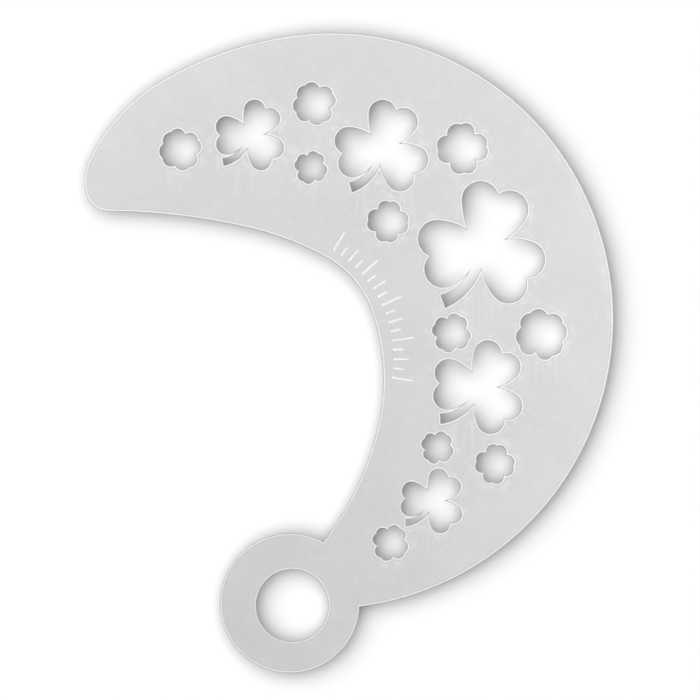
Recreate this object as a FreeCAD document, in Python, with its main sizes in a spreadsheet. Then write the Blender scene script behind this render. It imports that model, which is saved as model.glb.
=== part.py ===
"""A flexible plastic stencil: a crescent-shaped sheet with a finger ring.

The whole object is one thin sheet, cut through by shamrock and clover openings and by the
finger hole, with a shallow engraved row of graduation ticks along the inner curve.

Frame: the origin is the centre of the finger hole, on the underside of the sheet. +Z is the
sheet's normal, and +Y runs from the finger ring towards the far side of the crescent.
Lengths are in millimetres and angles in degrees.
"""
import FreeCAD, Part
import math
import os
import Sketcher

VECTOR = FreeCAD.Vector
UP = VECTOR(0, 0, 1)
START, END, CENTRE = 1, 2, 3
SKETCH_ORIGIN = (-1, 1)
THROUGH = "dims.sheet_thickness"
VOLUME_TOLERANCE = 0.01

# The crescent's outline, walked anticlockwise from inside the finger ring: first the outer
# edge, then the rounded tip, then the inner edge back to the ring. Each bend is an arc that
# joins the last one smoothly: its name, its side of turn, its radius and its sweep.
LEFT, RIGHT = 1, -1
BENDS = (
    ("outer_side", LEFT, 58.0, 122.3),
    ("outer_crown", LEFT, 56.0, 60.3),
    ("outer_shoulder", LEFT, 71.0, 22.9),
    ("outer_back", LEFT, 37.0, 34.6),
    ("tip_back", LEFT, 10.2, 40.3),
    ("tip_front", LEFT, 4.6, 74.9),
    ("inner_lead", RIGHT, 135.0, 11.7),
    ("inner_top", RIGHT, 61.0, 16.2),
    ("inner_corner", RIGHT, 20.0, 42.8),
    ("inner_side", RIGHT, 42.0, 32.9),
    ("inner_root", RIGHT, 61.0, 26.4),
)

# A shamrock, in hundredths of its own width, about the hub where its three leaves meet.
# Each leaf has two round lobes, given by their centres, and two curved sides, given by
# their radii. A leaf starts at the base point on its clockwise side.
LOBE_RADIUS = 15.3
LEAVES = (
    ("right", (-8.2, -16.4), ((9.8, -36.6), (30.1, -20.4)), (50.0, 50.0)),
    ("top", (16.2, 0.9), ((28.2, 24.0), (6.7, 38.5)), (50.0, 90.0)),
    ("left", (-10.6, 17.0), ((-37.7, 17.2), (-39.6, -8.8)), (50.0, 36.0)),
)
STEM_ROOT = (-16.4, -14.3)
STEM_END = ((-47.3, -29.4), (-46.7, -40.5))
STEM_RADII = (38.0, 54.0)

# Where the shamrocks are: hub x, hub y, width and anticlockwise turn.
SHAMROCKS = (
    (-8.0, 93.9, 13.3, 5.0),
    (18.4, 91.5, 17.6, 13.0),
    (38.6, 71.9, 23.8, 16.0),
    (37.9, 43.5, 17.6, 0.0),
    (28.4, 20.8, 12.1, 0.0),
)

# A four-leaf clover has heart-shaped leaves: four notches between leaves, four shallow
# dips at the leaf tips, and eight round lobes that touch one circle.
CLOVER_DIP = 0.93
LOBE_PEAK_TURN = 25.0
# Where the clovers are: centre x, centre y, radius of the circle round the lobes, turn,
# and how far out each notch is, as a share of that radius. The larger ones are blunter.
EVEN = (0.68, 0.68, 0.68, 0.68)
CLOVERS = (
    (-22.4, 91.2, 4.15, 72.0, (0.73, 0.85, 0.78, 0.70)),
    (4.4, 100.4, 4.25, 72.0, (0.73, 0.80, 0.80, 0.68)),
    (3.7, 87.6, 3.25, 17.0, EVEN),
    (19.1, 76.8, 4.1, 40.0, (0.70, 0.70, 0.66, 0.66)),
    (34.0, 91.4, 5.05, 49.0, (0.65, 0.75, 0.65, 0.60)),
    (49.8, 54.2, 5.05, 72.0, (0.78, 0.82, 0.62, 0.84)),
    (31.8, 54.5, 3.85, 17.0, EVEN),
    (29.0, 31.6, 3.25, 10.0, EVEN),
    (40.5, 28.3, 3.9, 38.0, EVEN),
    (19.6, 12.5, 3.6, 12.0, EVEN),
)

# The engraved row: ticks that stand on one arc, a long one every fourth place, a middle one
# half way between two long ones, and short ones in the places left. Each set has its name,
# tick length, first place, places from one tick to the next, and number of ticks.
TICK_SETS = (
    ("long", 4.4, 0, 4, 5),
    ("middle", 3.2, 2, 4, 4),
    ("short", 2.2, 1, 2, 8),
)

DIMENSIONS = [
    ("sheet_thickness", 0.5, "thickness of the plastic sheet"),
    ("finger_hole_radius", 7.25, "radius of the finger hole"),
    ("ring_radius", 13.95, "outer radius of the finger ring"),
    ("ring_x", -0.5, "ring's outer circle, off the hole's centre in x"),
    ("ring_y", 0.45, "ring's outer circle, off the hole's centre in y"),
    ("outline_x", 6.2, "centre of the outline's first bend, x"),
    ("outline_y", 57.3, "centre of the outline's first bend, y"),
    ("outline_start", -86.0, "direction from that centre to the outline's first point"),
    ("lobe_radius", LOBE_RADIUS, "shamrock lobe radius, hundredths of the width"),
    ("clover_dip", CLOVER_DIP, "how far out a clover's leaf dips, share of its radius"),
    ("tick_x", -4.9, "centre of the arc that the ticks stand on, x"),
    ("tick_y", 49.5, "centre of the arc that the ticks stand on, y"),
    ("tick_foot_radius", 25.2, "radius of the arc that the ticks stand on"),
    ("tick_width", 0.4, "width of an engraved tick"),
    ("tick_depth", 0.1, "depth of an engraved tick"),
    ("tick_start", -8.8, "direction of the first tick"),
    ("tick_step", 4.2, "angle from one place of the row to the next"),
]


def add_dimensions():
    """Add the rows that the tables above give, one alias for each size."""
    for name, _, radius, sweep in BENDS:
        DIMENSIONS.append((name + "_radius", radius, "outline bend, radius"))
        DIMENSIONS.append((name + "_sweep", sweep, "outline bend, sweep"))
    for name, base, lobes, sides in LEAVES:
        points = {"base": base, "first_lobe": lobes[0], "second_lobe": lobes[1]}
        for point, (x, y) in points.items():
            DIMENSIONS.append((name + "_" + point + "_x", x, "shamrock leaf, hundredths"))
            DIMENSIONS.append((name + "_" + point + "_y", y, "shamrock leaf, hundredths"))
        DIMENSIONS.append((name + "_first_side", sides[0], "radius of the leaf's first side"))
        DIMENSIONS.append((name + "_second_side", sides[1], "radius of the leaf's second side"))
    stem = {"stem_root": STEM_ROOT, "stem_end_upper": STEM_END[0], "stem_end_lower": STEM_END[1]}
    for point, (x, y) in stem.items():
        DIMENSIONS.append((point + "_x", x, "shamrock stem, hundredths"))
        DIMENSIONS.append((point + "_y", y, "shamrock stem, hundredths"))
    DIMENSIONS.append(("stem_upper_side", STEM_RADII[0], "radius of the stem's upper side"))
    DIMENSIONS.append(("stem_lower_side", STEM_RADII[1], "radius of the stem's lower side"))
    for number, values in enumerate(SHAMROCKS, 1):
        for key, value in zip(("x", "y", "width", "turn"), values):
            DIMENSIONS.append((f"shamrock_{number}_{key}", value, "place of a shamrock"))
    for number, (x, y, radius, turn, notches) in enumerate(CLOVERS, 1):
        for key, value in zip(("x", "y", "radius", "turn"), (x, y, radius, turn)):
            DIMENSIONS.append((f"clover_{number}_{key}", value, "place of a clover"))
        for place, notch in enumerate(notches, 1):
            DIMENSIONS.append((f"clover_{number}_notch_{place}", notch, "share of the radius"))
    for name, length, _, _, count in TICK_SETS:
        DIMENSIONS.append((name + "_tick_length", length, "length of this set's ticks"))
        DIMENSIONS.append((name + "_tick_count", count, "number of ticks in this set"))


def make_sheet(doc):
    """Write the driving dimensions into a spreadsheet, each with its alias."""
    sheet = doc.addObject("Spreadsheet::Sheet", "dims")
    for row, (alias, value, meaning) in enumerate(DIMENSIONS, 1):
        sheet.set(f"A{row}", meaning)
        sheet.set(f"B{row}", str(value))
        sheet.setAlias(f"B{row}", alias)
    doc.recompute()
    return sheet


def new_sketch(name, x="0", y="0", z="0", turn="0"):
    """Attach a sketch to the body's XY plane, moved and turned as the expressions say."""
    planes = [item for item in body.Origin.OriginFeatures if item.Role == "XY_Plane"]
    sketch = body.newObject("Sketcher::SketchObject", name)
    sketch.AttachmentSupport = (planes[0], [""])
    sketch.MapMode = "FlatFace"
    sketch.AttachmentOffset = FreeCAD.Placement(VECTOR(), FreeCAD.Rotation(UP, 1))
    sketch.setExpression("AttachmentOffset.Base.x", x)
    sketch.setExpression("AttachmentOffset.Base.y", y)
    sketch.setExpression("AttachmentOffset.Base.z", z)
    sketch.setExpression("AttachmentOffset.Rotation.Angle", turn)
    return sketch


def bind(sketch, kind, where, value, name, expression):
    """Add a constraint that has a size, and tie that size to an expression."""
    index = sketch.addConstraint(Sketcher.Constraint(kind, *where, value))
    sketch.renameConstraint(index, name)
    sketch.setExpression("Constraints." + name, expression)


def bind_point(sketch, geometry, corner, value, name, expression_x, expression_y):
    """Tie a point's place, measured from the sketch's origin, to two expressions."""
    where = (*SKETCH_ORIGIN, geometry, corner)
    bind(sketch, "DistanceX", where, value[0], name + "_x", expression_x)
    bind(sketch, "DistanceY", where, value[1], name + "_y", expression_y)


def arc(centre, radius, first, last):
    """The arc about centre from the angle first to the angle last, anticlockwise, radians."""
    if last < first:
        last += 2 * math.pi
    return Part.ArcOfCircle(Part.Circle(VECTOR(*centre, 0), UP, radius), first, last)


def angle_to(centre, point):
    return math.atan2(point[1] - centre[1], point[0] - centre[0])


def arc_between(start, finish, radius, bulge):
    """The arc of this radius that joins two points and bulges left or right of the way."""
    way = (finish[0] - start[0], finish[1] - start[1])
    chord = math.hypot(*way)
    height = -bulge * math.sqrt(radius ** 2 - chord ** 2 / 4) / chord
    centre = (
        (start[0] + finish[0]) / 2 - way[1] * height,
        (start[1] + finish[1]) / 2 + way[0] * height,
    )
    ends = (angle_to(centre, start), angle_to(centre, finish))
    return arc(centre, radius, *(ends if bulge == RIGHT else reversed(ends)))


def circle_sketch(name, radius_alias, x="0", y="0"):
    """A sketch of one circle about its own origin."""
    sketch = new_sketch(name, x, y)
    radius = sheet.get(radius_alias)
    circle = sketch.addGeometry(Part.Circle(VECTOR(), UP, radius), False)
    sketch.addConstraint(Sketcher.Constraint("Coincident", circle, CENTRE, *SKETCH_ORIGIN))
    bind(sketch, "Radius", (circle,), radius, "radius", "dims." + radius_alias)
    return sketch


def crescent_sketch():
    """The crescent as a chain of tangent arcs, closed by a line inside the finger ring."""
    sketch = new_sketch("crescent_outline")
    hub = (sheet.get("outline_x"), sheet.get("outline_y"))
    direction = math.radians(sheet.get("outline_start"))
    point = (
        hub[0] + BENDS[0][2] * math.cos(direction),
        hub[1] + BENDS[0][2] * math.sin(direction),
    )
    first_point = point
    heading = direction + math.pi / 2
    joints = []
    for name, side, radius, sweep in BENDS:
        turn = side * math.radians(sweep)
        centre = (
            point[0] - side * radius * math.sin(heading),
            point[1] + side * radius * math.cos(heading),
        )
        entry = angle_to(centre, point)
        leave = entry + turn
        point = (
            centre[0] + radius * math.cos(leave),
            centre[1] + radius * math.sin(leave),
        )
        heading += turn
        bend = sketch.addGeometry(arc(centre, radius, *sorted((entry, leave))), False)
        bind(sketch, "Radius", (bend,), radius, name + "_radius", f"dims.{name}_radius")
        if bend:
            bind(sketch, "Angle", (bend,), math.radians(sweep), name + "_sweep", f"dims.{name}_sweep")
        joints.append((bend, START, END) if side == LEFT else (bend, END, START))
    for (last, _, leaving), (following, entering, _) in zip(joints, joints[1:]):
        sketch.addConstraint(Sketcher.Constraint("Tangent", last, leaving, following, entering))
    bind_point(sketch, 0, CENTRE, hub, "hub", "dims.outline_x", "dims.outline_y")
    bind(sketch, "Angle", (0,), math.radians(BENDS[0][3]), "outer_side_sweep", "dims.outer_side_sweep")
    bind(
        sketch, "DistanceX", (*SKETCH_ORIGIN, 0, START), first_point[0], "start_x",
        "dims.outline_x + dims.outer_side_radius * cos(dims.outline_start * 1 deg)",
    )
    closing = sketch.addGeometry(
        Part.LineSegment(VECTOR(*point, 0), VECTOR(*first_point, 0)), False)
    sketch.addConstraint(Sketcher.Constraint("Coincident", closing, START, *joints[-1][::2]))
    sketch.addConstraint(Sketcher.Constraint("Coincident", closing, END, 0, START))
    return sketch


def shamrock_sketch(number):
    """A shamrock: three leaves of two lobes each, and a curved stem with a cut end."""
    place = f"dims.shamrock_{number}_"
    sketch = new_sketch(f"shamrock_{number}_outline", place + "x", place + "y", turn=place + "turn")
    scale = SHAMROCKS[number - 1][2] / 100

    def scaled(point):
        return (point[0] * scale, point[1] * scale)

    def share(alias):
        return f"{place}width * dims.{alias} / 100"

    radius = LOBE_RADIUS * scale
    bases = [scaled(leaf[1]) for leaf in LEAVES] + [scaled(STEM_ROOT)]
    for index, (name, _, lobes, sides) in enumerate(LEAVES):
        centres = [scaled(lobe) for lobe in lobes]
        first_side = side_of_leaf(bases[index], centres[0], radius, sides[0] * scale, LEFT)
        second_side = side_of_leaf(bases[index + 1], centres[1], radius, sides[1] * scale, RIGHT)
        cleft = far_crossing(centres, radius)
        pieces = (
            first_side,
            arc(centres[0], radius, angle_to(centres[0], first_side.EndPoint),
                angle_to(centres[0], cleft)),
            arc(centres[1], radius, angle_to(centres[1], cleft),
                angle_to(centres[1], second_side.StartPoint)),
            second_side,
        )
        one, two, three, four = [sketch.addGeometry(piece, False) for piece in pieces]
        sketch.addConstraint(Sketcher.Constraint("Tangent", one, END, two, START))
        sketch.addConstraint(Sketcher.Constraint("Coincident", two, END, three, START))
        sketch.addConstraint(Sketcher.Constraint("Tangent", three, END, four, START))
        if index:
            sketch.addConstraint(Sketcher.Constraint("Coincident", one - 1, END, one, START))
        bind(sketch, "Radius", (one,), sides[0] * scale, name + "_first", share(name + "_first_side"))
        bind(sketch, "Radius", (four,), sides[1] * scale, name + "_second", share(name + "_second_side"))
        for lobe, centre, key in ((two, centres[0], "first_lobe"), (three, centres[1], "second_lobe")):
            alias = f"{name}_{key}"
            bind(sketch, "Radius", (lobe,), radius, alias + "_radius", share("lobe_radius"))
            bind_point(sketch, lobe, CENTRE, centre, alias, share(alias + "_x"), share(alias + "_y"))
        alias = name + "_base"
        bind_point(sketch, one, START, bases[index], alias, share(alias + "_x"), share(alias + "_y"))

    root, upper, lower = [scaled(point) for point in (STEM_ROOT, *STEM_END)]
    last_leaf = sketch.GeometryCount - 1
    pieces = (
        arc_between(root, upper, STEM_RADII[0] * scale, LEFT),
        Part.LineSegment(VECTOR(*upper, 0), VECTOR(*lower, 0)),
        arc_between(lower, bases[0], STEM_RADII[1] * scale, RIGHT),
    )
    upper_side, cut_end, lower_side = [sketch.addGeometry(piece, False) for piece in pieces]
    for join in (
        (last_leaf, END, upper_side, END),
        (upper_side, START, cut_end, START),
        (cut_end, END, lower_side, START),
        (lower_side, END, 0, START),
    ):
        sketch.addConstraint(Sketcher.Constraint("Coincident", *join))
    bind(sketch, "Radius", (upper_side,), STEM_RADII[0] * scale, "stem_upper", share("stem_upper_side"))
    bind(sketch, "Radius", (lower_side,), STEM_RADII[1] * scale, "stem_lower", share("stem_lower_side"))
    bind_point(sketch, upper_side, END, root, "stem_root", share("stem_root_x"), share("stem_root_y"))
    for corner, value, alias in ((START, upper, "stem_end_upper"), (END, lower, "stem_end_lower")):
        bind_point(sketch, cut_end, corner, value, alias, share(alias + "_x"), share(alias + "_y"))
    return sketch


def crossing(first, first_radius, second, second_radius, side):
    """Where two circles cross, on the left or right of the way from first to second."""
    way = (second[0] - first[0], second[1] - first[1])
    gap = math.hypot(*way)
    along = (first_radius ** 2 - second_radius ** 2 + gap ** 2) / (2 * gap)
    across = side * math.sqrt(first_radius ** 2 - along ** 2)
    unit = (way[0] / gap, way[1] / gap)
    return (
        first[0] + unit[0] * along - unit[1] * across,
        first[1] + unit[1] * along + unit[0] * across,
    )


def far_crossing(centres, radius):
    """The cleft of a heart: where its two lobes cross, farther from the hub."""
    points = [crossing(centres[0], radius, centres[1], radius, side) for side in (LEFT, RIGHT)]
    return max(points, key=lambda point: math.hypot(*point))


def side_of_leaf(base, lobe, lobe_radius, radius, side):
    """The leaf's side: an arc through its base point that touches the lobe from outside it."""
    centre = crossing(base, radius, lobe, radius - lobe_radius, side)
    away = angle_to(centre, lobe)
    ends = (angle_to(centre, base), away)
    return arc(centre, radius, *(ends if side == LEFT else reversed(ends)))


def clover_sketch(number):
    """A four-leaf clover: eight lobes between notches and dips, all touching one circle."""
    place = f"dims.clover_{number}_"
    sketch = new_sketch(f"clover_{number}_outline", place + "x", place + "y", turn=place + "turn")
    _, _, radius, _, notches = CLOVERS[number - 1]
    ring = sketch.addGeometry(Part.Circle(VECTOR(), UP, radius), True)
    sketch.addConstraint(Sketcher.Constraint("Coincident", ring, CENTRE, *SKETCH_ORIGIN))
    bind(sketch, "Radius", (ring,), radius, "lobe_circle", place + "radius")

    def spot(share, degrees):
        turn = math.radians(degrees)
        return (share * radius * math.cos(turn), share * radius * math.sin(turn))

    lobes = []
    corners = []
    for leaf in range(4):
        turn = 90 * leaf
        after = notches[(leaf + 1) % 4]
        corners.append((spot(notches[leaf], turn), f"notch_{leaf + 1}", turn))
        corners.append((spot(CLOVER_DIP, turn + 45), "dip", turn + 45))
        dip = spot(CLOVER_DIP, turn + 45)
        first = (spot(notches[leaf], turn), spot(1, turn + LOBE_PEAK_TURN), dip)
        second = (dip, spot(1, turn + 90 - LOBE_PEAK_TURN), spot(after, turn + 90))
        for points in (first, second):
            lobes.append(sketch.addGeometry(Part.Arc(*[VECTOR(*point, 0) for point in points]), False))
    for index, lobe in enumerate(lobes):
        following = lobes[(index + 1) % len(lobes)]
        sketch.addConstraint(Sketcher.Constraint("Coincident", lobe, END, following, START))
        sketch.addConstraint(Sketcher.Constraint("Tangent", lobe, ring))
        value, key, turn = corners[index]
        share = "dims.clover_dip" if key == "dip" else place + key
        bind_point(
            sketch, lobe, START, value, f"corner_{index}",
            f"{place}radius * {share} * cos({turn} deg)",
            f"{place}radius * {share} * sin({turn} deg)",
        )
    return sketch


def tick_sketch(name, length, first_place):
    """One tick: a slot with round ends, on the arc's radius at the set's first place."""
    turn = f"dims.tick_start + dims.tick_step * {first_place}"
    sketch = new_sketch(
        f"{name}_tick_outline", "dims.tick_x", "dims.tick_y", "dims.sheet_thickness", turn)
    half = sheet.get("tick_width") / 2
    near = sheet.get("tick_foot_radius") + half
    far = near + length - 2 * half
    pieces = (
        Part.LineSegment(VECTOR(near, -half, 0), VECTOR(far, -half, 0)),
        arc((far, 0), half, -math.pi / 2, math.pi / 2),
        Part.LineSegment(VECTOR(far, half, 0), VECTOR(near, half, 0)),
        arc((near, 0), half, math.pi / 2, 3 * math.pi / 2),
    )
    lower, outer_end, upper, inner_end = [sketch.addGeometry(piece, False) for piece in pieces]
    for one, two in ((lower, outer_end), (outer_end, upper), (upper, inner_end), (inner_end, lower)):
        sketch.addConstraint(Sketcher.Constraint("Tangent", one, END, two, START))
    sketch.addConstraint(Sketcher.Constraint("Equal", outer_end, inner_end))
    bind(sketch, "Radius", (outer_end,), half, "half_width", "dims.tick_width / 2")
    bind_point(
        sketch, inner_end, CENTRE, (near, 0), "foot",
        "dims.tick_foot_radius + dims.tick_width / 2", "0")
    bind_point(
        sketch, outer_end, CENTRE, (far, 0), "head",
        f"dims.tick_foot_radius + dims.{name}_tick_length - dims.tick_width / 2", "0")
    return sketch


def area_of(sketch):
    """The area inside a sketch's closed outline."""
    return Part.Face(Part.Wire(Part.__sortEdges__(sketch.Shape.Edges))).Area


def pad(name, sketch):
    """Raise the sheet from its underside to its full thickness."""
    feature = body.newObject("PartDesign::Pad", name)
    feature.Profile = sketch
    feature.setExpression("Length", THROUGH)
    doc.recompute()
    return feature


def pocket(name, sketch, depth=THROUGH):
    """Cut up through the sheet from its underside, or by a depth down from its top."""
    before = body.Tip.Shape.Volume
    feature = body.newObject("PartDesign::Pocket", name)
    feature.Profile = sketch
    feature.Reversed = depth == THROUGH
    feature.setExpression("Length", depth)
    doc.recompute()
    expect_cut(feature, before, area_of(sketch) * feature.Length.Value)
    return feature


def expect_cut(feature, before, expected):
    """Stop if a cut hasn't removed the volume that its outline and depth give."""
    removed = before - feature.Shape.Volume
    if abs(removed - expected) > VOLUME_TOLERANCE * expected:
        raise RuntimeError(f"{feature.Name} removed {removed:.3f} mm3, not {expected:.3f}")


def tick_row(name, length, first_place, places, count):
    """Engrave one set of ticks: the first as a pocket, the rest as its polar pattern."""
    sketch = tick_sketch(name, length, first_place)
    first = pocket(name + "_tick", sketch, "dims.tick_depth")
    before = first.Shape.Volume
    pattern = body.newObject("PartDesign::PolarPattern", name + "_ticks")
    pattern.Originals = [first]
    pattern.Axis = (sketch, ["N_Axis"])
    pattern.setExpression("Occurrences", f"dims.{name}_tick_count")
    pattern.setExpression("Angle", f"dims.tick_step * {places} * (dims.{name}_tick_count - 1)")
    body.Tip = pattern
    doc.recompute()
    expect_cut(pattern, before, (count - 1) * area_of(sketch) * sheet.get("tick_depth"))


def check_document():
    """Stop if any object failed to recompute, or a sketch is left loose, or a shape is bad."""
    for item in doc.Objects:
        if "Invalid" in item.State or "Error" in item.State:
            raise RuntimeError(f"{item.Name} failed: {item.State}")
        if item.isDerivedFrom("Sketcher::SketchObject") and not item.FullyConstrained:
            raise RuntimeError(f"{item.Name} isn't fully constrained")
    if body.Shape.isNull() or not body.Shape.isValid():
        raise RuntimeError("the sheet's shape isn't valid")


add_dimensions()
doc = FreeCAD.newDocument("finger_ring_stencil")
sheet = make_sheet(doc)
body = doc.addObject("PartDesign::Body", "stencil_sheet")
body.Label = "stencil_sheet"
body.Placement = FreeCAD.Placement()

pad("crescent", crescent_sketch())
pad("finger_ring", circle_sketch("ring_outline", "ring_radius", "dims.ring_x", "dims.ring_y"))
pocket("finger_hole", circle_sketch("finger_hole_outline", "finger_hole_radius"))
for shamrock_number in range(1, len(SHAMROCKS) + 1):
    pocket(f"shamrock_{shamrock_number}", shamrock_sketch(shamrock_number))
for clover_number in range(1, len(CLOVERS) + 1):
    pocket(f"clover_{clover_number}", clover_sketch(clover_number))
for tick_set in TICK_SETS:
    tick_row(*tick_set)
doc.recompute()
check_document()

os.makedirs("parts", exist_ok=True)
body.Shape.exportStep(f"parts/{body.Label}.step")
box = body.Shape.BoundBox
print(f"{body.Label}: {len(body.Shape.Solids)} solid, {body.Shape.Volume:.1f} mm3,"
      f" {box.XLength:.1f} x {box.YLength:.1f} x {box.ZLength:.2f} mm")
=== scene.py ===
"""The looks of the finger-ring stencil: a frosted plastic sheet, laser-cut and lightly engraved."""
import math

import bpy
import numpy as np
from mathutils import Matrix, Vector, geometry, kdtree, noise


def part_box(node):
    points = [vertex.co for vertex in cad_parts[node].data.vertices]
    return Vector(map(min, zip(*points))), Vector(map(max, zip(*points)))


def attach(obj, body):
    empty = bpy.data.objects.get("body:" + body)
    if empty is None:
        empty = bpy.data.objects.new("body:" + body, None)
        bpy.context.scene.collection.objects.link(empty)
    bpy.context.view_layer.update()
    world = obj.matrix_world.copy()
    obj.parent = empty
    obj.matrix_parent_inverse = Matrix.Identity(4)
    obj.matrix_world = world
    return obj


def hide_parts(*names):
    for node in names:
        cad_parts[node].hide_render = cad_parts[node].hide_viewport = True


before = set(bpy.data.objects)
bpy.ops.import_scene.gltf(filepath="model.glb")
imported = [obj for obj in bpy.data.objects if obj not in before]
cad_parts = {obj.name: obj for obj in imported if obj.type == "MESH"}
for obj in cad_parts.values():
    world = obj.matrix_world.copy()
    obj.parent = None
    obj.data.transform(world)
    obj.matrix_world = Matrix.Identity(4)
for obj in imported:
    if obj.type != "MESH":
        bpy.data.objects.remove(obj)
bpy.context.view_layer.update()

MM = 0.001
NODE = "stencil_sheet"
low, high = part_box(NODE)
THICKNESS = (high.z - low.z) / MM

# Where the sheet's mesh has its points. Rings of points follow every cut at these distances from
# it, and a wide grid fills the film between them. Lengths are in millimetres, angles in radians.
CORNER_ANGLE = math.radians(20)
SHARP_ANGLE = math.radians(50)
CUT_STEP = 0.26
GRID_STEP = 1.3
TOP_RINGS = (0.0, 0.012, 0.035, 0.07, 0.12, 0.18, 0.26, 0.38, 0.65)
UNDERSIDE_RINGS = (0.0, 0.02, 0.06, 0.14, 0.4)
WALL_LEVELS = 3
FAN_STEP = math.radians(15)
MITRE_LIMIT = math.radians(60)
RING_TRIM = 0.985
MERGE_DISTANCE = 1e-7
LEVEL_TOLERANCE = 1e-4
TINY = 1e-12

# The sheet's surface. Along every cut the laser leaves a raised, rounded bead of uneven strength,
# so the flat film lies a little below the bead's crest, which is at the sheet's full height.
BEAD_HEIGHT = 0.035
BEAD_WIDTH = 0.11
BEAD_WAVE = 1.4
BEAD_SEED = 3.0
BEAD_LEAST = 0.45
EDGE_RADIUS = 0.07
UNDER_BEAD_HEIGHT = 0.012
UNDER_EDGE_RADIUS = 0.04

# The engraved ticks: rounded grooves with a small lip on each side.
GROOVE_RINGS = (0.06, 0.12, 0.17, 0.21, 0.27, 0.35, 0.5)
GROOVE_HALF = 0.2
GROOVE_DEPTH = 0.1
GROOVE_ROUNDNESS = 0.7
GROOVE_FLOOR = THICKNESS - GROOVE_DEPTH
GROOVE_LIP = 0.012
GROOVE_LIP_WIDTH = 0.07
TICK_STEP = 0.25
TICK_CENTRES = 12
END_STEPS = 8
NO_TICK = 9.0

# The residue of cutting: streaks run down from the cut-outs, and haze lies to their lower right.
STREAK_LENGTH = 7.0
LEEWARD = np.array((0.8, -0.6))
HAZE_ALL_ROUND = 0.5
HAZE_LEEWARD = 0.7

# The film's colours. The laser turns the edges and the ticks white, and along the edges the white
# is partly a painted highlight on the bead's crest.
FILM_DARK = (0.586, 0.593, 0.6, 1)
FILM_LIGHT = (0.606, 0.613, 0.62, 1)
HAZE = (0.74, 0.745, 0.75, 1)
# Partly a painted highlight: on the rim this white stands for the bead's crest catching the light
# as well as for the laser's frosting; on the ticks it is the engraving's own white.
FROST_AND_HIGHLIGHT_WHITE = (0.89, 0.894, 0.898, 1)
# Painted shade: a slightly darker colour for the band beside the bead, where its flank falls away
# from the light.
PAINTED_FLANK_SHADE = (0.578, 0.585, 0.6, 1)
# Painted shade: a dark grey for the rounded outer edge and the wall, standing in for the dark
# shadowed outline along every cut.
PAINTED_EDGE_SHADOW = (0.3, 0.305, 0.31, 1)

# How far from a cut, or from a tick's centre line, each colour's band starts and ends to fade.
PAINTED_SHADOW_BAND = (0.05, 0.15)
RIM_BAND = (0.22, 0.36)
SHADE_RISE = (0.36, 0.46)
SHADE_FALL = (0.54, 0.74)
GROOVE_BAND = (0.17, 0.29)
HAZE_BAND = (0.3, 2.4)

# How much of each colour lies over the film at the most. A pair is the least and the most.
PAINTED_SHADOW_COVER = 0.85
RIM_COVER = (0.72, 1.0)
GROOVE_COVER = 0.8
PAINTED_SHADE_COVER = 0.9
MOTTLE_COVER = 0.22
BLOTCH_COVER = 0.14
HAZE_COVER = (0.12, 0.75)
STREAK_COVER = 0.38
SCRATCH_COVER = 0.24

# The size of the film's patterns, in millimetres. Streaks and scratches are this wide, and longer
# by the stretch.
GRAIN_SIZE = 0.35
MOTTLE_SIZE = 0.5
RIM_SIZE = 0.7
PATCH_SIZE = 1.5
BLOTCH_SIZE = 2.4
CLOUD_SIZE = 14.0
STREAK_SIZE = 0.6
STREAK_STRETCH = (1, 16, 1)
SCRATCH_SIZE = 0.22
SCRATCH_STRETCH = (70, 1, 1)
SCRATCH_PATCH_SIZE = 11.0
GRAIN_STRENGTH = 0.5
GRAIN_DEPTH = 0.01
ROUGHNESS = (0.36, 0.5)

# The studio: the sheet lies a little above a white table, in a pale room. A light's share is how
# brightly it lights a level surface at the middle of the view.
FLOOR_GAP = 3.1
FLOOR_TONE = 0.3
FLOOR_ROUGHNESS = 0.9
FLOOR_RADIUS = 30000.0
FLOOR_SIDES = 64
VIEW_CENTRE = (11.54, 51.1)
VIEW_FIELD = 140.0
LENS = 600.0
SENSOR = 36.0
NEAREST, FARTHEST = 10.0, 200000.0
ROOM_SHARE = 0.15
LIGHTS_ON_TABLE = {
    "overhead": dict(place=(-6000.0, 1550.0), height=8000.0, radius=10700.0, share=3.23),
}
LIGHTS_ON_SHEET = {
    "soft_box": dict(place=(0.0, 0.0), height=6000.0, radius=14000.0, share=0.33),
    "right_window": dict(place=(500.0, 80.0), height=292.0, radius=60.0, share=0.445),
    "left_window": dict(place=(-200.0, 218.0), height=150.0, radius=40.0, share=0.158),
}


def set_camera():
    """Straight above the sheet, with +Y up the picture."""
    camera = bpy.data.objects.new("camera", bpy.data.cameras.new("camera"))
    bpy.context.scene.collection.objects.link(camera)
    camera.data.lens = LENS
    camera.data.sensor_width = SENSOR
    camera.data.clip_start = NEAREST * MM
    camera.data.clip_end = FARTHEST * MM
    distance = VIEW_FIELD * LENS / SENSOR
    camera.location = Vector((*VIEW_CENTRE, THICKNESS + distance)) * MM
    bpy.context.scene.camera = camera
    bpy.context.scene.view_settings.view_transform = "Standard"


def make_floor():
    """A very wide white table."""
    material = bpy.data.materials.new("white_table")
    material.use_nodes = True
    shader = material.node_tree.nodes["Principled BSDF"]
    shader.inputs["Base Color"].default_value = (FLOOR_TONE, FLOOR_TONE, FLOOR_TONE, 1)
    shader.inputs["Roughness"].default_value = FLOOR_ROUGHNESS
    shader.inputs["Specular IOR Level"].default_value = 0.0
    bpy.ops.mesh.primitive_circle_add(
        vertices=FLOOR_SIDES, radius=FLOOR_RADIUS * MM, fill_type="NGON"
    )
    floor = bpy.context.object
    floor.name = "floor"
    floor.location.z = -FLOOR_GAP * MM
    floor.data.materials.append(material)
    return floor


def view_factor(place, height, radius):
    """How much of all the light on a level surface would come from a disc that faces down on it,
    at the view's middle, if the whole sky were as bright as the disc."""
    aside = math.dist(place, VIEW_CENTRE) ** 2
    up, wide = height**2, radius**2
    spread = math.sqrt((up + aside + wide) ** 2 - 4 * aside * wide)
    return (1 - (up + aside - wide) / spread) / 2


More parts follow.
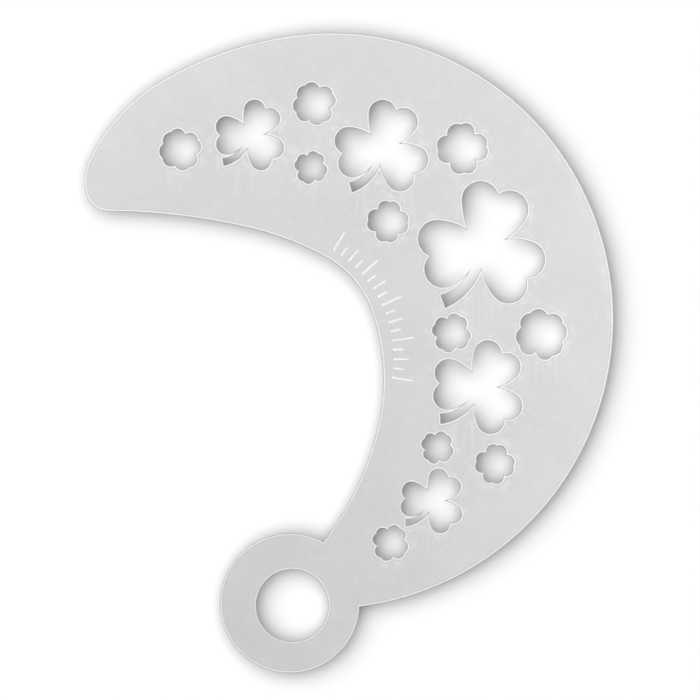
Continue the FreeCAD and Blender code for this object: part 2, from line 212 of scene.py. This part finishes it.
def add_light(name, lit, place, height, radius, share):
    """A disc that faces down and lights one object only, with its own share of the light."""
    light = bpy.data.lights.new(name, "AREA")
    light.shape = "DISK"
    light.size = 2 * radius * MM
    light.energy = share / view_factor(place, height, radius) * (math.pi * radius * MM) ** 2
    lamp = bpy.data.objects.new(name, light)
    lamp.location = Vector((*place, height)) * MM
    lamp.visible_camera = False
    bpy.context.scene.collection.objects.link(lamp)
    receivers = bpy.data.collections.new(name + "_lights")
    receivers.objects.link(lit)
    lamp.light_linking.receiver_collection = receivers


def make_room():
    """A pale room all round, which the camera sees as white."""
    world = bpy.data.worlds.new("room")
    world.use_nodes = True
    nodes, links = world.node_tree.nodes, world.node_tree.links
    room = nodes["Background"]
    room.inputs["Color"].default_value = (1, 1, 1, 1)
    room.inputs["Strength"].default_value = ROOM_SHARE
    backdrop = nodes.new("ShaderNodeBackground")
    backdrop.inputs["Color"].default_value = (1, 1, 1, 1)
    path = nodes.new("ShaderNodeLightPath")
    mix = nodes.new("ShaderNodeMixShader")
    links.new(path.outputs["Is Camera Ray"], mix.inputs[0])
    links.new(room.outputs[0], mix.inputs[1])
    links.new(backdrop.outputs[0], mix.inputs[2])
    links.new(mix.outputs[0], nodes["World Output"].inputs["Surface"])
    bpy.context.scene.world = world


def loops_at(height):
    """The closed outlines of the CAD sheet's flat faces at one height, in millimetres.
    Each runs with the material on its left, seen from above."""
    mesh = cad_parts[NODE].data
    points = [tuple(round(value / MM, 5) for value in vertex.co) for vertex in mesh.vertices]
    follows = {}
    for triangle in mesh.polygons:
        corners = [points[index] for index in triangle.vertices]
        if all(abs(corner[2] - height) < LEVEL_TOLERANCE for corner in corners):
            flat = [corner[:2] for corner in corners]
            if triangle.normal.z < 0:
                flat.reverse()
            for start, end in zip(flat, flat[1:] + flat[:1]):
                follows[start, end] = True
    border = {start: end for start, end in follows if (end, start) not in follows}
    loops = []
    while border:
        start, point = border.popitem()
        loop = [start]
        while point != start:
            loop.append(point)
            point = border.pop(point)
        loops.append(np.array(loop))
    return sorted(loops, key=len, reverse=True)


def unit(vectors):
    """Vectors of length 1 in the same directions."""
    return vectors / np.linalg.norm(vectors, axis=-1, keepdims=True)


def turned(vectors, angles):
    """Vectors turned anticlockwise by angles in radians."""
    cos, sin = np.cos(angles), np.sin(angles)
    x, y = vectors[..., 0], vectors[..., 1]
    return np.stack([x * cos - y * sin, x * sin + y * cos], axis=-1)


def smooth_outline(loop):
    """The outline with its round stretches made smooth and its corners kept: points, and the
    directions in which it arrives at each point and leaves it."""
    run = np.roll(loop, -1, axis=0) - loop
    length = np.linalg.norm(run, axis=1)
    chord = unit(run)
    turn = turn_between(np.roll(chord, 1, axis=0), chord)
    corner = np.abs(turn) > CORNER_ANGLE
    smooth_turn = np.where(corner, 0.0, turn)
    start_bend = smooth_turn * length / (length + np.roll(length, 1))
    end_bend = np.roll(smooth_turn, -1) * length / (length + np.roll(length, -1))
    start_bend, end_bend = (
        np.where(corner, end_bend, start_bend),
        np.where(np.roll(corner, -1), start_bend, end_bend),
    )
    first = turned(chord, -start_bend) * length[:, None]
    last = turned(chord, end_bend) * length[:, None]
    points, arrive, leave = [], [], []
    for index, start in enumerate(loop):
        end = start + run[index]
        count = max(1, math.ceil(length[index] / CUT_STEP))
        for place in range(count):
            position, way = hermite(start, end, first[index], last[index], place / count)
            points.append(position)
            leave.append(way)
            arrive.append(way if place else last[index - 1])
    return np.array(points), unit(np.array(arrive)), unit(np.array(leave))


def turn_between(before, after):
    """The signed angle from one direction to the next, anticlockwise."""
    cross = before[..., 0] * after[..., 1] - before[..., 1] * after[..., 0]
    return np.arctan2(cross, (before * after).sum(-1))


def hermite(start, end, first, last, place):
    """A point of the cubic curve between two ends that have given directions, and its own."""
    square, cube = place**2, place**3
    rise = 3 * square - 2 * cube
    position = (
        start * (1 - rise) + end * rise
        + first * (cube - 2 * square + place) + last * (cube - square)
    )
    way = (
        (end - start) * 6 * (place - square)
        + first * (3 * square - 4 * place + 1) + last * (3 * square - 2 * place)
    )
    return position, way


class Cuts:
    """Every cut edge as short straight runs, to measure distances from."""

    def __init__(self, outlines):
        self.outlines = outlines
        self.starts = np.concatenate([points for points, _, _ in outlines])
        self.ends = np.concatenate([np.roll(points, -1, axis=0) for points, _, _ in outlines])
        first = np.cumsum([0] + [len(points) for points, _, _ in outlines])
        self.previous = np.arange(len(self.starts)) - 1
        self.previous[first[:-1]] = first[1:] - 1
        self.tree = kdtree.KDTree(len(self.starts))
        for index, (x, y) in enumerate(self.starts):
            self.tree.insert((x, y, 0), index)
        self.tree.balance()

    def distance(self, points):
        """How far each point is from the nearest cut."""
        near = [[found[1] for found in self.tree.find_n((x, y, 0), 3)] for x, y in points]
        best = np.full(len(points), np.inf)
        for column in np.array(near).T:
            for runs in (column, self.previous[column]):
                away = distance_to_run(points, self.starts[runs], self.ends[runs])
                best = np.minimum(best, away)
        return best

    def inside(self, points):
        """Whether each point is in the material, by counting the cuts to its right."""
        (x, y), (x1, y1), (x2, y2) = points.T, self.starts.T, self.ends.T
        x, y = x[:, None], y[:, None]
        spans = (y1 > y) != (y2 > y)
        with np.errstate(divide="ignore", invalid="ignore"):
            crossing = x1 + (y - y1) * (x2 - x1) / (y2 - y1)
        return (spans & (crossing > x)).sum(1) % 2 == 1

    def ring(self, outline, distance):
        """Points all round an outline at one distance into the material, and which of them to
        keep. The rest are nearer to another cut."""
        points, arrive, leave = outline
        turn = turn_between(arrive, leave)
        left = np.stack([-arrive[:, 1], arrive[:, 0]], axis=1)
        spots = []
        for index, point in enumerate(points):
            if turn[index] < -FAN_STEP:
                count = math.ceil(-turn[index] / FAN_STEP)
                for place in range(count + 1):
                    way = turned(left[index], turn[index] * place / count)
                    spots.append(point + way * distance)
            else:
                half = min(turn[index] / 2, MITRE_LIMIT)
                way = turned(left[index], half)
                spots.append(point + way * distance / math.cos(half))
        spots = np.array(spots)
        return spots, self.distance(spots) > RING_TRIM * distance


def distance_to_run(points, starts, ends):
    """How far each point is from its own straight run."""
    run = ends - starts
    place = ((points - starts) * run).sum(-1) / np.maximum((run * run).sum(-1), TINY)
    nearest = starts + run * np.clip(place, 0, 1)[..., None]
    return np.linalg.norm(points - nearest, axis=-1)


class Ticks:
    """The engraved ticks, each a straight run between the centres of its round ends."""

    def __init__(self, loops):
        runs = []
        for loop in loops:
            middle = loop.mean(0)
            axis = np.linalg.svd(loop - middle)[2][0]
            along = (loop - middle) @ axis
            across = np.abs((loop - middle) @ [-axis[1], axis[0]]).max()
            first, last = along.min() + across, along.max() - across
            runs.append([middle + axis * first, middle + axis * last])
        self.starts, self.ends = np.array(runs).transpose(1, 0, 2)

    def distance(self, points):
        """How far each point is from the nearest tick's centre line."""
        best = np.full(len(points), np.inf)
        for start, end in zip(self.starts, self.ends):
            best = np.minimum(best, distance_to_run(points, start, end))
        return best

    def ring(self, start, end, distance):
        """Points at one distance all round a tick."""
        axis = unit(end - start)
        side = np.array([-axis[1], axis[0]])
        count = math.ceil(np.linalg.norm(end - start) / TICK_STEP)
        straight = [start + (end - start) * place / count for place in range(count + 1)]
        spots = [point - side * distance for point in straight]
        angles = [math.pi * step / END_STEPS for step in range(1, END_STEPS)]
        round_end = [(axis * math.sin(a) - side * math.cos(a)) * distance for a in angles]
        spots += [end + offset for offset in round_end]
        spots += [point + side * distance for point in reversed(straight)]
        spots += [start - offset for offset in round_end]
        return spots


class Mosaic:
    """Points and edges in the plane, gathered for one constrained triangulation."""

    def __init__(self):
        self.points = []
        self.edges = []

    def add_chain(self, spots, kept):
        """Add the kept points of a closed ring, and its edges between kept neighbours."""
        place = np.cumsum(kept) - 1 + len(self.points)
        self.points.extend(tuple(spot) for spot in np.asarray(spots)[kept])
        for index in range(len(spots)):
            if kept[index] and kept[index - 1]:
                self.edges.append((int(place[index - 1]), int(place[index])))

    def triangles(self, cuts, rim_count):
        """Points, the material's triangles, and which points are on the cuts. The first rim_count
        points that were added are those on the cuts."""
        points = [Vector(point) for point in self.points]
        result = geometry.delaunay_2d_cdt(points, self.edges, [], 0, MERGE_DISTANCE)
        flat = np.array([tuple(point) for point in result[0]])
        faces = np.array([face for face in result[2]])
        on_rim = np.zeros(len(flat), bool)
        rim = np.full(rim_count, -1)
        for new, olds in enumerate(result[3]):
            for old in olds:
                if old < rim_count:
                    rim[old] = new
                    on_rim[new] = True
        # Only a triangle with all its corners on cuts can lie in an opening or outside the sheet.
        doubtful = on_rim[faces].all(1)
        centres = flat[faces[doubtful]].mean(1)
        keep = np.ones(len(faces), bool)
        keep[doubtful] = cuts.inside(centres)
        return flat, faces[keep], rim


def wave(points, size, seed):
    """Smooth noise from 0 to 1 over the plane, with features of one size."""
    values = [noise.noise(Vector((x / size, y / size, seed))) for x, y in points]
    return 0.5 + 0.5 * np.array(values)


def rounded(distance, radius):
    """How far a rounded edge has dropped at a distance from the cut."""
    place = 1 - np.clip(distance / radius, 0, 1)
    return radius * (1 - np.sqrt(1 - place**2))


def bump_at(distance, centre, width):
    """A smooth bump, 1 at its centre."""
    return np.exp(-(((distance - centre) / width) ** 2))


def top_height(points, cut, tick):
    """The upper surface: film, beads along the cuts, rounded edges, and the ticks' grooves."""
    strength = BEAD_LEAST + (1 - BEAD_LEAST) * wave(points, BEAD_WAVE, BEAD_SEED)
    film = THICKNESS - BEAD_HEIGHT
    crest = np.where(cut < EDGE_RADIUS, 1.0, bump_at(cut, EDGE_RADIUS, BEAD_WIDTH))
    height = film + BEAD_HEIGHT * strength * crest - rounded(cut, EDGE_RADIUS)
    groove = np.clip(1 - (tick / GROOVE_HALF) ** 2, 0, 1) ** GROOVE_ROUNDNESS
    lip = bump_at(tick, GROOVE_HALF + GROOVE_LIP_WIDTH, GROOVE_LIP_WIDTH)
    return height - GROOVE_DEPTH * groove + GROOVE_LIP * np.where(tick > GROOVE_HALF, lip, 0)


def under_height(cut):
    """The underside: flat film with a lower bead and a smaller rounded edge."""
    crest = np.where(cut < UNDER_EDGE_RADIUS, 1.0, bump_at(cut, UNDER_EDGE_RADIUS, BEAD_WIDTH))
    return UNDER_BEAD_HEIGHT * (1 - crest) + rounded(cut, UNDER_EDGE_RADIUS)


def residue_at(points, loops):
    """Where cutting left residue round the cut-outs: how strongly as streaks, which run down
    from each, and how strongly as haze, which lies to the lower right of each."""
    streaks, haze = np.zeros(len(points)), np.zeros(len(points))
    for loop in loops:
        middle, half = (loop.max(0) + loop.min(0)) / 2, np.ptp(loop, axis=0) / 2
        aside = np.abs(points[:, 0] - middle[0]) / half[0]
        below = middle[1] - half[1] - points[:, 1]
        start = np.clip(1 + below / half[1], 0, 1)
        end = np.clip(1 - below / STREAK_LENGTH, 0, 1)
        streaks = np.maximum(streaks, start * end * np.clip(2 - 2 * aside, 0, 1))
        away = points - middle
        reach = np.linalg.norm(away, axis=1)
        leeward = (away @ LEEWARD) / np.maximum(reach, TINY)
        near = np.clip(2 - reach / np.linalg.norm(half), 0, 1)
        lee = np.clip(HAZE_ALL_ROUND + HAZE_LEEWARD * leeward, 0, 1)
        haze = np.maximum(haze, near * lee)
    return streaks, haze


def grid_inside(cuts, ticks, clear):
    """A wide triangular grid over the film, clear of the cuts and the ticks."""
    xs = np.arange(low.x / MM, high.x / MM, GRID_STEP)
    ys = np.arange(low.y / MM, high.y / MM, GRID_STEP * math.sqrt(3) / 2)
    spots = [(x + GRID_STEP / 2 * (row % 2), y) for row, y in enumerate(ys) for x in xs]
    spots = np.array(spots)
    spots = spots[cuts.distance(spots) > clear]
    if ticks is not None:
        spots = spots[ticks.distance(spots) > clear]
    return spots[cuts.inside(spots)]


def surface(cuts, ring_distances, ticks):
    """One side of the sheet, still flat: points, triangles, and which points are on the cuts."""
    mosaic = Mosaic()
    for distance in ring_distances:
        for outline in cuts.outlines:
            if distance:
                mosaic.add_chain(*cuts.ring(outline, distance))
            else:
                mosaic.add_chain(outline[0], np.ones(len(outline[0]), bool))
    if ticks is not None:
        for start, end in zip(ticks.starts, ticks.ends):
            for place in np.linspace(0, 1, TICK_CENTRES):
                mosaic.points.append(tuple(start + (end - start) * place))
            for distance in GROOVE_RINGS:
                spots = ticks.ring(start, end, distance)
                mosaic.add_chain(spots, np.ones(len(spots), bool))
    mosaic.points.extend(map(tuple, grid_inside(cuts, ticks, ring_distances[-1] + GRID_STEP / 2)))
    return mosaic.triangles(cuts, len(cuts.starts))


def wall_between(cuts, upper, lower, first_new):
    """The wall along the cuts from the upper rim to the lower one. Each rim is the numbers of its
    points and their heights; the points between the rims get numbers from first_new on."""
    (upper_rim, upper_z), (lower_rim, lower_z) = upper, lower
    count = len(cuts.starts)
    rows, points = [upper_rim], []
    for level in range(1, WALL_LEVELS):
        share = level / WALL_LEVELS
        z = upper_z * (1 - share) + lower_z * share
        rows.append(np.arange(count) + first_new + count * (level - 1))
        points.append(np.column_stack([cuts.starts, z]))
    rows.append(lower_rim)
    follows = np.empty(count, int)
    follows[cuts.previous] = np.arange(count)
    faces = [np.column_stack([a, b, b[follows], a[follows]]) for a, b in zip(rows, rows[1:])]
    return np.concatenate(points), np.concatenate(faces)


def make_sheet():
    """The whole sheet as one closed mesh, with what the material needs to know at each point."""
    loops = loops_at(low.z / MM)
    cuts = Cuts([smooth_outline(loop) for loop in loops])
    ticks = Ticks(loops_at(GROOVE_FLOOR))
    top, top_faces, top_rim = surface(cuts, TOP_RINGS, ticks)
    under, under_faces, under_rim = surface(cuts, UNDERSIDE_RINGS, None)
    top_cut, under_cut = cuts.distance(top), cuts.distance(under)
    top_cut[top_rim] = 0
    under_cut[under_rim] = 0
    top_tick = ticks.distance(top)
    top_z = top_height(top, top_cut, top_tick)
    under_z = under_height(under_cut)
    wall, wall_faces = wall_between(
        cuts,
        (top_rim, top_z[top_rim]),
        (under_rim + len(top), under_z[under_rim]),
        len(top) + len(under),
    )
    vertices = np.concatenate([
        np.column_stack([top, top_z]),
        np.column_stack([under, under_z]),
        wall,
    ])
    faces = top_faces.tolist() + (under_faces[:, ::-1] + len(top)).tolist() + wall_faces.tolist()
    mesh = bpy.data.meshes.new("frosted_sheet")
    mesh.from_pydata((vertices * MM).tolist(), [], faces)
    # The outline and the finger hole, whose boxes hold the origin, have no residue round them.
    cut_outs = [loop for loop in loops if (loop.min(0) * loop.max(0)).max() > 0]
    streaks, haze = residue_at(vertices[:, :2], cut_outs)
    cut = np.concatenate([top_cut, under_cut, np.zeros(len(wall))])
    tick = np.append(top_tick, np.full(len(vertices) - len(top), NO_TICK))
    keep_at_points(mesh, "cut_distance", cut)
    keep_at_points(mesh, "tick_distance", tick)
    keep_at_points(mesh, "streaks", streaks)
    keep_at_points(mesh, "haze", haze)
    mesh.shade_smooth()
    mesh.set_sharp_from_angle(angle=SHARP_ANGLE)
    sheet = bpy.data.objects.new("frosted_sheet", mesh)
    bpy.context.scene.collection.objects.link(sheet)
    return sheet


def keep_at_points(mesh, name, values):
    """Keep one number at each of the mesh's points, for the material."""
    attribute = mesh.attributes.new(name, "FLOAT", "POINT")
    attribute.data.foreach_set("value", values.astype(np.float32))


class Tree:
    """A material's nodes: each method adds one and gives back what comes out of it."""

    def __init__(self, name):
        self.material = bpy.data.materials.new(name)
        self.material.use_nodes = True
        self.nodes = self.material.node_tree.nodes
        self.links = self.material.node_tree.links
        self.shader = self.nodes["Principled BSDF"]
        self.place = self.nodes.new("ShaderNodeTexCoord").outputs["Object"]

    def put(self, value, socket):
        """Link a value into a socket, or set the socket where the value is a constant."""
        if isinstance(value, bpy.types.NodeSocket):
            self.links.new(value, socket)
        else:
            socket.default_value = value

    def attribute(self, name):
        """A number that the mesh keeps at each of its points."""
        node = self.nodes.new("ShaderNodeAttribute")
        node.attribute_name = name
        return node.outputs["Fac"]

    def noise(self, size, detail=2.0, stretch=(1, 1, 1), start=(0, 0, 0)):
        """Noise whose features have about this size in millimetres, before the stretch."""
        mapping = self.nodes.new("ShaderNodeMapping")
        self.links.new(self.place, mapping.inputs["Vector"])
        mapping.inputs["Location"].default_value = start
        mapping.inputs["Scale"].default_value = [1 / (size * MM * share) for share in stretch]
        node = self.nodes.new("ShaderNodeTexNoise")
        self.links.new(mapping.outputs[0], node.inputs["Vector"])
        node.inputs["Scale"].default_value = 1.0
        node.inputs["Detail"].default_value = detail
        return node.outputs["Fac"]

    def ramp(self, value, band, start=0.0, end=1.0):
        """A smooth step from start to end as value goes through the band."""
        node = self.nodes.new("ShaderNodeMapRange")
        node.interpolation_type = "SMOOTHSTEP"
        self.put(value, node.inputs["Value"])
        node.inputs["From Min"].default_value = band[0]
        node.inputs["From Max"].default_value = band[1]
        node.inputs["To Min"].default_value = start
        node.inputs["To Max"].default_value = end
        return node.outputs[0]

    def math(self, operation, first, second):
        """The result of one arithmetic operation."""
        node = self.nodes.new("ShaderNodeMath")
        node.operation = operation
        self.put(first, node.inputs[0])
        self.put(second, node.inputs[1])
        return node.outputs[0]

    def mix(self, share, first, second):
        """The first colour, with a share of the second over it."""
        node = self.nodes.new("ShaderNodeMix")
        node.data_type = "RGBA"
        self.put(share, node.inputs["Factor"])
        self.put(first, node.inputs[6])
        self.put(second, node.inputs[7])
        return node.outputs[2]


def film_material():
    """Frosted plastic: mottled film, whitish haze and residue by the cuts, white cut edges that are
    partly a painted highlight, and painted shade along the cuts.
    """
    tree = Tree("frosted_film")
    cut = tree.attribute("cut_distance")
    mottle = tree.noise(MOTTLE_SIZE)
    tone = edge_colours(tree, cut, film_colours(tree, cut, mottle))
    tree.put(tone, tree.shader.inputs["Base Color"])
    tree.put(tree.ramp(mottle, (0.3, 0.7), *ROUGHNESS), tree.shader.inputs["Roughness"])
    bump = tree.nodes.new("ShaderNodeBump")
    bump.inputs["Strength"].default_value = GRAIN_STRENGTH
    bump.inputs["Distance"].default_value = GRAIN_DEPTH * MM
    tree.put(tree.noise(GRAIN_SIZE, detail=3.0), bump.inputs["Height"])
    tree.put(bump.outputs[0], tree.shader.inputs["Normal"])
    return tree.material


def film_colours(tree, cut, mottle):
    """The film away from its edges: a slowly changing tone with paler mottling over it."""
    cloud = tree.noise(CLOUD_SIZE, detail=1.0, start=(3, 1, 0))
    tone = tree.mix(tree.ramp(cloud, (0.3, 0.7)), FILM_DARK, FILM_LIGHT)
    tone = tree.mix(tree.ramp(mottle, (0.3, 0.8), 0.0, MOTTLE_COVER), tone, HAZE)
    blotch = tree.noise(BLOTCH_SIZE, start=(5, 4, 0))
    tone = tree.mix(tree.ramp(blotch, (0.4, 0.75), 0.0, BLOTCH_COVER), tone, HAZE)
    tone = tree.mix(residue(tree, cut), tone, HAZE)
    return tree.mix(scratches(tree), tone, HAZE)


def edge_colours(tree, cut, tone):
    """The colours by the cuts, over the film's: a faint painted shade beside the bead, then the
    white rim, which is partly the laser's frosting and partly a painted highlight, and the white
    ticks, and last a dark grey painted as shade over the rounded edge and the wall."""
    # Painted shade: a faint darker band just inside the white rim, standing in for the shade of the
    # bead's falling flank.
    fall = tree.ramp(cut, SHADE_FALL, 1.0, 0.0)
    shade = tree.math("MULTIPLY", tree.ramp(cut, SHADE_RISE), fall)
    tone = tree.mix(tree.math("MULTIPLY", shade, PAINTED_SHADE_COVER), tone, PAINTED_FLANK_SHADE)
    # The rim's white is partly the laser's frosting and partly a painted highlight along the bead's
    # crest; the ticks' white is their engraving.
    rim = tree.ramp(cut, RIM_BAND, 1.0, 0.0)
    groove = tree.ramp(tree.attribute("tick_distance"), GROOVE_BAND, GROOVE_COVER, 0.0)
    frost_and_highlight = tree.math("MAXIMUM", rim, groove)
    uneven = tree.ramp(tree.noise(RIM_SIZE, start=(1, 5, 0)), (0.3, 0.7), *RIM_COVER)
    tone = tree.mix(tree.math("MULTIPLY", frost_and_highlight, uneven), tone, FROST_AND_HIGHLIGHT_WHITE)
    # Painted shade: dark grey over the outermost rounded edge and the whole wall, standing in for
    # the shadowed outline along every cut.
    return tree.mix(tree.ramp(cut, PAINTED_SHADOW_BAND, PAINTED_SHADOW_COVER, 0.0), tone, PAINTED_EDGE_SHADOW)


def residue(tree, cut):
    """Whitish haze in patches close to the cut-outs, and fine streaks that run down from them."""
    near = tree.ramp(cut, HAZE_BAND, 1.0, 0.0)
    lee = tree.ramp(tree.attribute("haze"), (0.1, 0.8), *HAZE_COVER)
    patches = tree.ramp(tree.noise(PATCH_SIZE, detail=3.0, start=(7, 2, 0)), (0.42, 0.68))
    haze = tree.math("MULTIPLY", tree.math("MULTIPLY", near, lee), patches)
    streak = tree.noise(STREAK_SIZE, detail=1.0, stretch=STREAK_STRETCH, start=(2, 8, 0))
    strength = tree.math("MULTIPLY", tree.attribute("streaks"), STREAK_COVER)
    streaks = tree.math("MULTIPLY", tree.ramp(streak, (0.48, 0.72)), strength)
    return tree.math("MAXIMUM", haze, streaks)


def scratches(tree):
    """A few faint scratches along X, gathered in patches."""
    line = tree.noise(SCRATCH_SIZE, detail=0.0, stretch=SCRATCH_STRETCH, start=(4, 3, 0))
    patch = tree.noise(SCRATCH_PATCH_SIZE, detail=0.0, start=(9, 6, 0))
    patches = tree.ramp(patch, (0.52, 0.64), 0.0, SCRATCH_COVER)
    return tree.math("MULTIPLY", tree.ramp(line, (0.68, 0.76)), patches)


set_camera()
make_room()
floor = make_floor()
sheet = make_sheet()
for name, settings in LIGHTS_ON_TABLE.items():
    add_light(name, floor, **settings)
for name, settings in LIGHTS_ON_SHEET.items():
    add_light(name, sheet, **settings)
sheet.data.materials.append(film_material())
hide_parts(NODE)
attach(sheet, "root")
